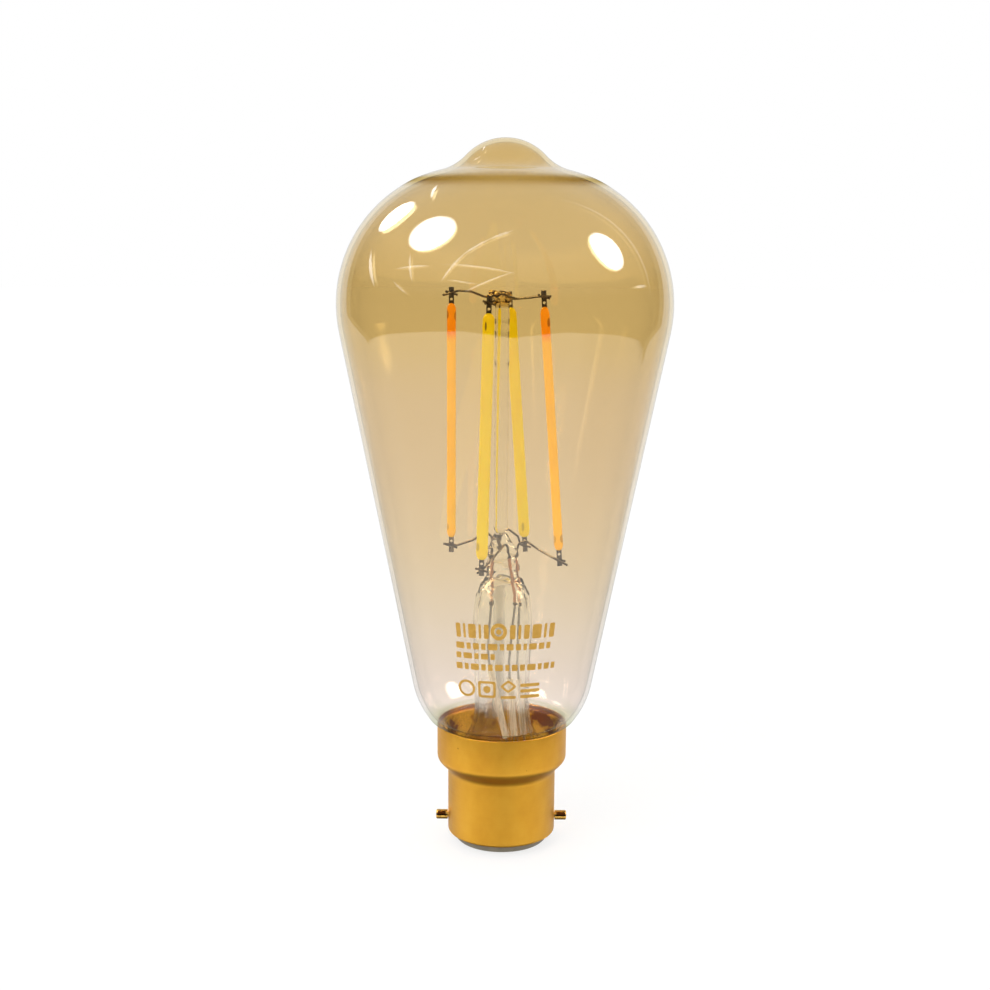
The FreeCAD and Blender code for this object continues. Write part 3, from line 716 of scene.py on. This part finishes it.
def banded(name, colours, width, rough=(0.4, 0.5), **fixed):
    """A body with level bands of colour up it, each of about width mm, over fine grain."""
    made = Finish(name, **fixed)
    height = made.math("FRACT", made.math("DIVIDE", made.axis("Z"), width * MM * len(colours)))
    stops = [(k / len(colours), colour) for k, colour in enumerate(colours)]
    grain = made.noise(0.3, detail=2.0)
    speck = made.ramp(grain, [(0.3, (0.88, 0.88, 0.88)), (0.7, (1, 1, 1))])
    made.colour(made.blend(1.0, made.ramp(height, stops, "CONSTANT"), speck, "MULTIPLY"))
    made.rough(made.between(grain, rough[0], rough[1], 0.3, 0.7))
    made.bump(grain, 0.01)
    return made


def circuit(name, mask, copper, pitch):
    """Solder mask over copper: fine tracks and pads from two crossed waves on the board's face."""
    made = Finish(name, IOR=1.5)
    across, up = made.axis("X"), made.axis("Z")
    wander = made.noise(pitch * 2.2, detail=0.0)
    lines = made.math("SINE", made.math("ADD", made.math("MULTIPLY", up, 2 * pi / (pitch * MM)), made.math("MULTIPLY", wander, 9.0)))
    dots_x = made.math("SINE", made.math("MULTIPLY", across, 2 * pi / (pitch * 1.7 * MM)))
    dots_z = made.math("SINE", made.math("MULTIPLY", up, 2 * pi / (pitch * 2.1 * MM)))
    pads = made.between(made.math("MULTIPLY", dots_x, dots_z), 0, 1, 0.78, 0.84)
    tracks = made.between(lines, 0, 1, 0.55, 0.62)
    tone = made.blend(tracks, mask, tuple(min(1.0, 1.7 * c + 0.01) for c in mask))
    made.colour(made.blend(pads, tone, copper))
    made.rough(made.between(made.noise(0.4), 0.25, 0.4, 0.3, 0.7))
    made.bump(made.math("ADD", tracks, pads), 0.03)
    return made


def sleeve_plastic():
    """Translucent white sleeve: light goes through it softened, with faint drawn lines, and a painted warm glow of its
    own.
    """
    # Painted glow: a warm emission, though the sleeve is no lamp.
    made = Finish("translucent_sleeve", Transmission_Weight=0.5, IOR=1.36, Emission_Strength=0.17)
    made.shader.inputs["Emission Color"].default_value = (1.0, 0.80, 0.52, 1)
    cloud = made.noise(1.8, (1, 1, 6))
    made.colour(made.ramp(cloud, [(0.3, (0.86, 0.85, 0.80)), (0.7, (0.96, 0.95, 0.91))]))
    lines = made.noise(0.2, (1, 1, 30), detail=2.0)
    made.rough(made.between(lines, 0.22, 0.4, 0.3, 0.7))
    made.bump(lines, 0.01)
    return made


def golden_cement():
    """Golden cement of the neck joint, with darker brown patches, a little gloss and a painted glow of its own colour.
    """
    # Painted glow: the cement emits its own colour, though it is no lamp.
    made = Finish("golden_neck_cement", IOR=1.3, Emission_Strength=0.40)
    patches = made.noise(4.5, (1, 1, 0.8), detail=3.0)
    tone = made.ramp(patches, [(0.47, (0.80, 0.44, 0.03)), (0.54, (0.62, 0.29, 0.012)), (0.60, (0.22, 0.06, 0.0))])
    grain = made.noise(0.5)
    fine = made.ramp(grain, [(0.3, (0.86, 0.84, 0.80)), (0.7, (1, 1, 1))])
    tone = made.blend(1.0, tone, fine, "MULTIPLY")
    made.colour(tone)
    made.link(tone, made.shader.inputs["Emission Color"])
    made.rough(made.between(grain, 0.25, 0.5, 0.3, 0.7))
    made.bump(grain, 0.03)
    return made


def pin_with_painted_reflection():
    """Bright brass pin with a painted reflection: a dark brown band along its upper half, fading at the tip."""
    made = Finish("pin_brass_painted_reflection", Metallic=1.0)
    waver = made.math("MULTIPLY", made.noise(0.7, detail=2.0), 0.5 * MM)
    level = made.math("ADD", made.axis("Z"), waver)
    # Painted reflection: a dark band on the upper half of the pin, where it would mirror a dark room above.
    painted_dark_band = made.ramp(
        made.between(level, 0, 1, 4.0 * MM, 6.6 * MM),
        [(0.45, (0.0, 0.0, 0.0)), (0.52, (1, 1, 1)), (0.78, (1, 1, 1)), (0.86, (0.2, 0.2, 0.2))],
    )
    reach = made.math("ABSOLUTE", made.axis("X"))
    inner = made.between(reach, 0, 1, 11.0 * MM, 11.6 * MM)
    tip = made.between(reach, 1, 0, 13.2 * MM, 13.45 * MM)
    amount = made.math("MULTIPLY", painted_dark_band, made.math("MULTIPLY", inner, tip))
    made.colour(made.blend(amount, (0.72, 0.42, 0.09), (0.07, 0.02, 0.004)))
    fine = made.noise(0.3, detail=2.0)
    made.rough(made.between(fine, 0.16, 0.28, 0.3, 0.7))
    made.bump(fine, 0.004)
    return made


DRAWN = (1, 1, 12)
FINISHES = {
    "tab_metal": mottled("nickel_strip", (0.20, 0.17, 0.13), (0.46, 0.42, 0.36), 0.7, (0.22, 0.4), 0.006, (1, 1, 5), Metallic=1.0),
    "nickel_wire": mottled("dark_nickel_wire", (0.10, 0.075, 0.05), (0.30, 0.26, 0.21), 1.1, (0.25, 0.42), 0.006, Metallic=1.0),
    "copper_wire": mottled("copper_clad_wire", (0.60, 0.30, 0.18), (0.84, 0.52, 0.38), 1.4, (0.25, 0.4), 0.006, DRAWN, Metallic=1.0),
    "lead_wire": mottled("tinned_lead_wire", (0.32, 0.31, 0.28), (0.58, 0.57, 0.53), 1.2, (0.24, 0.4), 0.006, DRAWN, Metallic=1.0),
    "lead_sleeve": sleeve_plastic(),
    "pin_brass": pin_with_painted_reflection(),
    "base_insulator": mottled("grey_moulded_base", (0.165, 0.145, 0.105), (0.215, 0.19, 0.14), 2.2, (0.3, 0.45), 0.02, IOR=1.35),
    "contact_solder": mottled("tin_solder", (0.42, 0.42, 0.41), (0.66, 0.66, 0.64), 1.0, (0.18, 0.38), 0.02, Metallic=1.0),
    "neck_cement": golden_cement(),
    "insulating_cup": mottled("amber_film_liner", (0.62, 0.33, 0.03), (0.80, 0.46, 0.07), 3.0, (0.25, 0.4), 0.01, IOR=1.6),
    "supply_wire": mottled("red_silicone_wire", (0.50, 0.02, 0.015), (0.66, 0.05, 0.03), 0.8, (0.4, 0.55), 0.01),
    "circuit_board": circuit("green_circuit_board", (0.02, 0.16, 0.06), (0.55, 0.40, 0.12), 0.8),
    "radio_board": circuit("black_radio_board", (0.012, 0.013, 0.016), (0.60, 0.44, 0.14), 0.5),
    "radio_shield": mottled("tinned_shield_can", (0.46, 0.46, 0.46), (0.62, 0.62, 0.61), 1.6, (0.25, 0.4), 0.01, Metallic=1.0),
    "antenna_gold": mottled("gilt_antenna_track", (0.55, 0.36, 0.10), (0.70, 0.48, 0.16), 0.6, (0.25, 0.38), 0.005, Metallic=1.0),
    "chip_black": mottled("black_moulded_chip", (0.015, 0.015, 0.016), (0.035, 0.035, 0.036), 0.5, (0.45, 0.65), 0.015),
    "ferrite": mottled("sintered_ferrite", (0.025, 0.024, 0.024), (0.06, 0.058, 0.055), 0.4, (0.55, 0.75), 0.03),
    "coil_wire": banded("enamelled_winding", [(0.42, 0.13, 0.04), (0.62, 0.24, 0.08), (0.50, 0.17, 0.05)], 0.09, Metallic=0.8),
    "fuse_body": banded("banded_fuse_body", [(0.16, 0.30, 0.20), (0.16, 0.30, 0.20), (0.45, 0.20, 0.05), (0.16, 0.30, 0.20), (0.02, 0.02, 0.02)], 0.9),
    "capacitor_can": banded("capacitor_sleeve", [(0.02, 0.022, 0.035)] * 4 + [(0.30, 0.31, 0.33)], 1.9, (0.28, 0.4)),
    "film_capacitor": mottled("dipped_film_case", (0.34, 0.10, 0.03), (0.48, 0.17, 0.06), 0.9, (0.25, 0.4), 0.03),
}
for row in frame["record"]["subparts"]:
    node = nodes[row["node"]]
    finish = FINISHES.get(row["material_slot"])
    if finish and not node.hide_render:
        node.data.materials.clear()
        node.data.materials.append(finish.material)

# ---------------------------------------------------------------- floor, camera, light

CAMERA = Vector((0.0, -0.29469, 0.12401))
PITCH, YAW, ROLL = 12.413, 0.312, 0.36


def camera():
    """A camera in front of the bulb and above it, turned a little so the bulb stands off centre."""
    data = bpy.data.cameras.new("front_camera")
    data.sensor_width = 36.0
    data.lens = 54.776
    data.shift_y = 65 / 990
    data.clip_start, data.clip_end = 0.01, 50
    made = bpy.data.objects.new("front_camera", data)
    bpy.context.scene.collection.objects.link(made)
    made.location = CAMERA
    upright = Euler((radians(90 - PITCH), 0, radians(YAW))).to_matrix()
    made.rotation_euler = (upright @ Matrix.Rotation(radians(ROLL), 3, "Z")).to_euler()
    bpy.context.scene.camera = made


def floor():
    """A wide pale disc whose own glow keeps it close to white."""
    made = Finish("pale_floor")
    cloud = made.noise(60.0)
    made.colour(made.ramp(cloud, [(0.3, (0.24, 0.24, 0.24)), (0.7, (0.25, 0.25, 0.25))]))
    made.set(made.shader, Roughness=0.9, Specular_IOR_Level=0.0, Emission_Strength=0.76)
    made.shader.inputs["Emission Color"].default_value = (1, 1, 1, 1)
    turn = np.linspace(0, 2 * pi, 96, endpoint=False)
    ring = np.stack([3 * np.cos(turn), 3 * np.sin(turn), np.full(96, -1e-5)], 1)
    mesh = bpy.data.meshes.new("floor")
    mesh.from_pydata(ring.tolist(), [], [list(range(96))])
    mesh.materials.append(made.material)
    disc = bpy.data.objects.new("floor", mesh)
    bpy.context.scene.collection.objects.link(disc)
    disc.visible_glossy = False


def heading(azimuth, elevation):
    """The direction at an azimuth from the front towards +X and an elevation, in degrees."""
    a, e = radians(azimuth), radians(elevation)
    return Vector((sin(a) * cos(e), -cos(a) * cos(e), sin(e)))


class Sky:
    """The room round the bulb, told apart by the kind of ray that meets it."""

    def __init__(self):
        self.world = bpy.data.worlds.new("white_studio")
        bpy.context.scene.world = self.world
        self.world.use_nodes = True
        self.world.cycles.sampling_method = "NONE"
        self.tree = self.world.node_tree
        self.background = self.tree.nodes["Background"]
        self.way = self.node("ShaderNodeTexCoord").outputs["Generated"]

    def node(self, kind, **settings):
        made = self.tree.nodes.new(kind)
        for key, value in settings.items():
            setattr(made, key, value)
        return made

    def link(self, source, target):
        self.tree.links.new(source, target)

    def math(self, operation, first, second=0.0):
        made = self.node("ShaderNodeMath", operation=operation)
        for socket, value in zip(made.inputs, (first, second)):
            if isinstance(value, (int, float)):
                socket.default_value = value
            else:
                self.link(value, socket)
        return made.outputs["Value"]

    def between(self, value, start, end, low=0.0, high=1.0):
        made = self.node("ShaderNodeMapRange")
        for socket, number in zip(("From Min", "From Max", "To Min", "To Max"), (start, end, low, high)):
            made.inputs[socket].default_value = number
        self.link(value, made.inputs["Value"])
        return made.outputs["Result"]

    def patch(self, azimuth, elevation, half_wide, half_high, tilt=0.0, soft=0.15):
        """1 inside an oval patch of the sphere of directions, 0 outside; sizes in degrees."""
        centre = heading(azimuth, elevation)
        right = Vector((cos(radians(azimuth)), sin(radians(azimuth)), 0))
        up = centre.cross(right)
        if up.z < 0:
            up.negate()
        turned = Matrix.Rotation(radians(tilt), 3, centre)
        return self.oval(centre, turned @ right, turned @ up, half_wide, half_high, soft)

    def line(self, start, end, half_high, soft=0.5):
        """1 along a thin bright line between two directions of azimuth and elevation."""
        start, end = heading(*start), heading(*end)
        centre = (start + end).normalized()
        right = (end - start).normalized()
        half_wide = degrees(start.angle(end)) * 0.62
        return self.oval(centre, right, centre.cross(right), half_wide, half_high, soft)

    def oval(self, centre, right, up, half_wide, half_high, soft):
        """1 inside an oval about a direction, with its own right and up, falling to 0 outside."""
        basis = Matrix((right, up, right.cross(up))).transposed()
        mapping = self.node("ShaderNodeMapping", vector_type="TEXTURE")
        mapping.inputs["Location"].default_value = centre
        mapping.inputs["Rotation"].default_value = basis.to_euler()
        mapping.inputs["Scale"].default_value = (sin(radians(half_wide)), sin(radians(half_high)), 0.6)
        self.link(self.way, mapping.inputs["Vector"])
        length = self.node("ShaderNodeVectorMath", operation="LENGTH")
        self.link(mapping.outputs["Vector"], length.inputs[0])
        return self.between(length.outputs["Value"], 1.0, 1.0 - soft)


# Lamps and bright lines in the room: azimuth from the front towards +X, elevation, half width,
# half height, tilt and strength.
LAMPS = [
    (-79, 51.0, 14.5, 14.0, 0, 28.0),
    (89, 34.5, 11.0, 13.0, 0, 28.0),
    (-131, 37.0, 8.5, 9.0, 0, 16.0),
]
# Bright edges of the lamps' screens and cables: start, end, half thickness and strength.
LINES = [
    ((-44.3, 22.1), (-34.0, 43.8), 1.0, 6.0),
    ((-34.0, 43.8), (-16.2, 57.6), 1.0, 6.0),
    ((-16.2, 57.6), (8.4, 65.6), 1.1, 6.0),
    ((-43.6, 33.7), (4.2, 30.3), 0.8, 4.5),
    ((4.2, 30.3), (-26.1, 14.9), 0.8, 4.5),
    ((-39.9, 22.5), (-19.8, 20.8), 0.7, 3.5),
    ((-78.5, 33.0), (-67.4, 19.0), 1.0, 6.0),
    ((-83.0, 23.4), (-59.0, 30.2), 0.9, 4.5),
    ((-81.5, 15.2), (-68.3, 9.3), 0.8, 3.5),
    ((-118.0, 22.0), (-100.3, 11.0), 1.6, 7.0),
    ((129.0, 60.0), (114.0, 7.0), 1.6, 1.4),
    ((98.5, 10.5), (110.5, 9.0), 0.9, 4.0),
    ((-155.0, 43.5), (-138.0, 51.5), 0.8, 8.0),
]


def studio():
    """White all round for the eye and for matt things; a dark room with lamps for gloss."""
    sky = Sky()
    split = sky.node("ShaderNodeSeparateXYZ")
    sky.link(sky.way, split.inputs["Vector"])
    rise = split.outputs["Z"]
    edge = sin(radians(-16.0))
    side = split.outputs["X"]
    depth = split.outputs["Y"]
    bank = sky.between(sky.math("ABSOLUTE", sky.math("SUBTRACT", side, 0.1)), 0.0, 0.55, -0.085, 0.0)
    slant = sky.math("ADD", sky.math("MULTIPLY", rise, 1.7), sky.math("MULTIPLY", side, 0.05))
    rear = sky.between(sky.math("SUBTRACT", depth, slant), 0.85, 0.89, 0.0, 0.5)
    brink = sky.math("SUBTRACT", sky.math("SUBTRACT", rise, edge), sky.math("ADD", bank, rear))
    table = sky.between(brink, 0.006, -0.006)
    table = sky.math("MULTIPLY", table, sky.between(depth, 0.1, 0.7, 1.7, 0.74))
    table = sky.math("MULTIPLY", table, sky.between(rise, sin(radians(-38)), sin(radians(-48)), 1.0, 0.14))
    table = sky.math("MULTIPLY", table, sky.between(side, 0.72, 0.94, 1.0, 0.78))
    behind = sky.node("ShaderNodeVectorMath", operation="DOT_PRODUCT")
    sky.link(sky.way, behind.inputs[0])
    behind.inputs[1].default_value = (0, cos(radians(10)), -sin(radians(10)))
    backdrop = sky.between(behind.outputs["Value"], cos(radians(48)), cos(radians(46)))
    above = sky.between(rise, edge - 0.01, edge + 0.01)
    backdrop = sky.math("MULTIPLY", backdrop, above)
    white = sky.math("MAXIMUM", table, sky.math("MULTIPLY", backdrop, 0.9))
    ceiling = sky.between(rise, sin(radians(8)), sin(radians(48)), 0.03, 1.0)
    gloss = sky.math("MAXIMUM", white, ceiling)
    for azimuth, elevation, wide, high, tilt, strength in LAMPS:
        lamp = sky.patch(azimuth, elevation, wide, high, tilt)
        gloss = sky.math("ADD", gloss, sky.math("MULTIPLY", lamp, strength))
    for start, end, half_high, strength in LINES:
        streak = sky.line(start, end, half_high)
        gloss = sky.math("ADD", gloss, sky.math("MULTIPLY", streak, strength))
    glass = sky.between(rise, sin(radians(35)), sin(radians(55)), 1.0, 0.12)
    path = sky.node("ShaderNodeLightPath")
    is_gloss = path.outputs["Is Glossy Ray"]
    is_through = path.outputs["Is Transmission Ray"]
    pick_glass = sky.node("ShaderNodeMix", data_type="FLOAT")
    pick_glass.inputs[2].default_value = 1.0
    sky.link(is_through, pick_glass.inputs[0])
    sky.link(glass, pick_glass.inputs[3])
    pick = sky.node("ShaderNodeMix", data_type="FLOAT")
    sky.link(is_gloss, pick.inputs[0])
    sky.link(pick_glass.outputs[0], pick.inputs[2])
    sky.link(gloss, pick.inputs[3])
    sky.link(pick.outputs[0], sky.background.inputs["Strength"])
    sky.background.inputs["Color"].default_value = (1, 1, 1, 1)


def soft_lamp(name, place, size, power):
    """A large soft lamp that looks at the bulb's middle and shows in no gloss."""
    data = bpy.data.lights.new(name, "AREA")
    data.shape = "DISK"
    data.size = size
    data.energy = power
    made = bpy.data.objects.new(name, data)
    bpy.context.scene.collection.objects.link(made)
    made.location = place
    aim = Vector((0, 0, 0.07)) - Vector(place)
    made.rotation_euler = aim.to_track_quat("-Z", "Y").to_euler()
    made.visible_glossy = False
    made.visible_transmission = False
    made.visible_camera = False


camera()
floor()
studio()
soft_lamp("key_lamp", (-0.6, -0.7, 0.9), 0.8, 4.0)
bpy.context.scene.view_settings.view_transform = "Standard"
